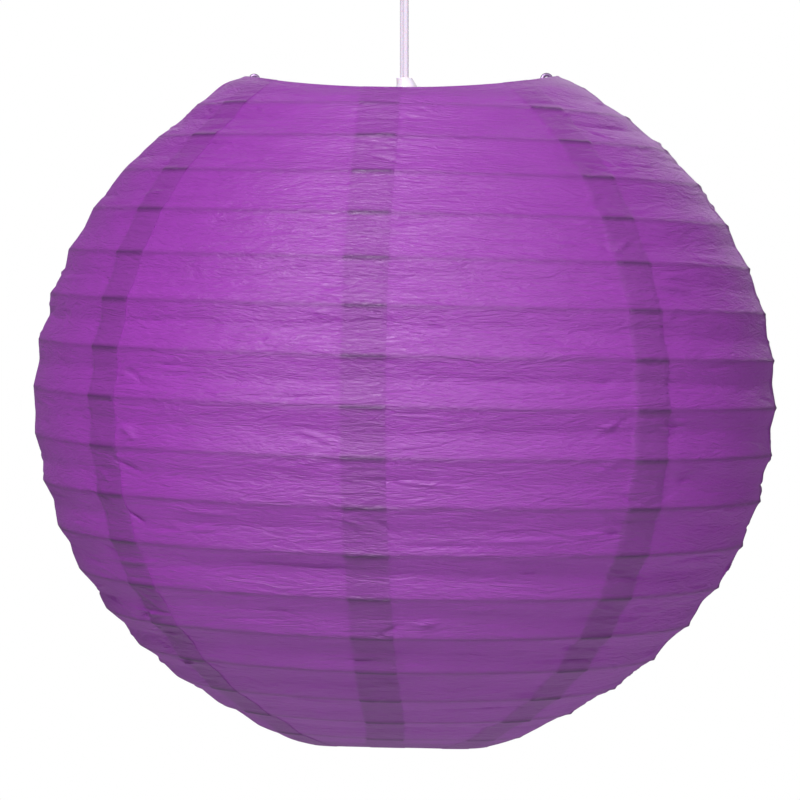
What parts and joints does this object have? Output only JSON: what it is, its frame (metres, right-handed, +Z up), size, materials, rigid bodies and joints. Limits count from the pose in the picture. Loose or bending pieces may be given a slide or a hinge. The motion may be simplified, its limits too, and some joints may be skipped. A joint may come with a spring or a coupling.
{
  "type": "hanging paper lantern light",
  "caption": "Round paper lantern shade on a spiral wire rib, held open by a bent wire expander, hanging from a ceiling rose on a twin flex with a lampholder and bulb.",
  "frame": {"origin": "centre of the ceiling rose's back face, where it meets the ceiling", "axes": "+Z up into the ceiling, +X from one expander leg to the other, -Y is the front"},
  "size_m": [0.2984, 0.2988, 0.355],
  "materials": {
    "purple_paper": "thin crinkled mulberry-style paper, dyed through, matt",
    "purple_wire": "thin steel wire, stained by the dyed paper",
    "spring_steel": "drawn spring wire, satin",
    "flex_pvc": "clear-white twin PVC, slight sheen",
    "holder_plastic": "moulded thermoset, semi-gloss",
    "ceramic": "unglazed steatite",
    "brass": "pressed brass",
    "bulb_nickel": "nickel-plated screw cap",
    "bulb_black": "black insulator",
    "bulb_white": "white moulding",
    "bulb_opal": "opal diffuser",
    "board_green": "circuit board",
    "rose_plastic": "white moulded plastic",
    "zinc": "zinc-plated screws",
    "grommet_rubber": "pale soft rubber"
  },
  "bodies": {
    "rose": {"rose_base": "rose_plastic", "rose_screw_1": "zinc", "rose_screw_2": "zinc", "terminal_block": "rose_plastic", "terminal_screw_1": "brass", "terminal_screw_2": "brass", "cord_anchor": "rose_plastic", "flex_tail": "flex_pvc", "rose_core_1": "flex_pvc", "rose_core_2": "flex_pvc"},
    "rose_cover": {"rose_cover": "rose_plastic"},
    "grommet": {"swivel_grommet": "grommet_rubber"},
    "pendant": {"flex": "flex_pvc", "holder_cap": "holder_plastic", "cord_grip": "holder_plastic", "holder_body": "holder_plastic", "contact_carrier": "ceramic", "screw_shell": "brass", "centre_contact": "brass", "terminal_post_1": "brass", "terminal_post_2": "brass", "holder_core_1": "flex_pvc", "holder_core_2": "flex_pvc"},
    "shade_ring": {"shade_ring": "holder_plastic"},
    "bulb": {"bulb_tip": "bulb_nickel", "bulb_insulator": "bulb_black", "bulb_cap": "bulb_nickel", "bulb_housing": "bulb_white", "led_board": "bulb_white", "driver_board": "board_green", "bulb_diffuser": "bulb_opal"},
    "shade": {"expander_wire": "spring_steel", "bridge_left": "spring_steel", "bridge_right": "spring_steel", "carrier_ring": "spring_steel", "bottom_rim_ring": "purple_wire", "rib_wire": "purple_wire", "paper_gore_1": "purple_paper", "paper_gore_2": "purple_paper", "paper_gore_3": "purple_paper", "paper_gore_4": "purple_paper", "paper_gore_5": "purple_paper", "paper_gore_6": "purple_paper", "paper_gore_7": "purple_paper", "paper_gore_8": "purple_paper"},
    "top_rim": {"top_rim_ring": "purple_wire"}
  },
  "joints": [
    {"name": "swing_front_back", "type": "hinge", "parent": "rose", "child": "grommet", "pos_m": [0, 0, -0.036], "axis": [1, 0, 0], "range_deg": [-20, 20]},
    {"name": "swing_side", "type": "hinge", "parent": "grommet", "child": "pendant", "pos_m": [0, 0, -0.036], "axis": [0, 1, 0], "range_deg": [-20, 20]},
    {"name": "shade_turn", "type": "hinge", "parent": "pendant", "child": "shade", "pos_m": [0, 0, -0.123], "axis": [0, 0, 1], "continuous": true},
    {"name": "shade_fold", "type": "slide", "parent": "shade", "child": "top_rim", "axis": [0, 0, -1], "range_m": [0, 0.245], "deforming": ["rib_wire", "paper_gore_1", "paper_gore_2", "paper_gore_3", "paper_gore_4", "paper_gore_5", "paper_gore_6", "paper_gore_7", "paper_gore_8"]},
    {"name": "bulb_unscrew", "type": "slide", "parent": "pendant", "child": "bulb", "axis": [0, 0, -1], "range_m": [0, 0.026]},
    {"name": "shade_ring_unscrew", "type": "slide", "parent": "pendant", "child": "shade_ring", "axis": [0, 0, -1], "range_m": [0, 0.018]},
    {"name": "cover_twist", "type": "hinge", "parent": "rose", "child": "rose_cover", "pos_m": [0, 0, 0], "axis": [0, 0, 1], "range_deg": [0, 30]}
  ]
}
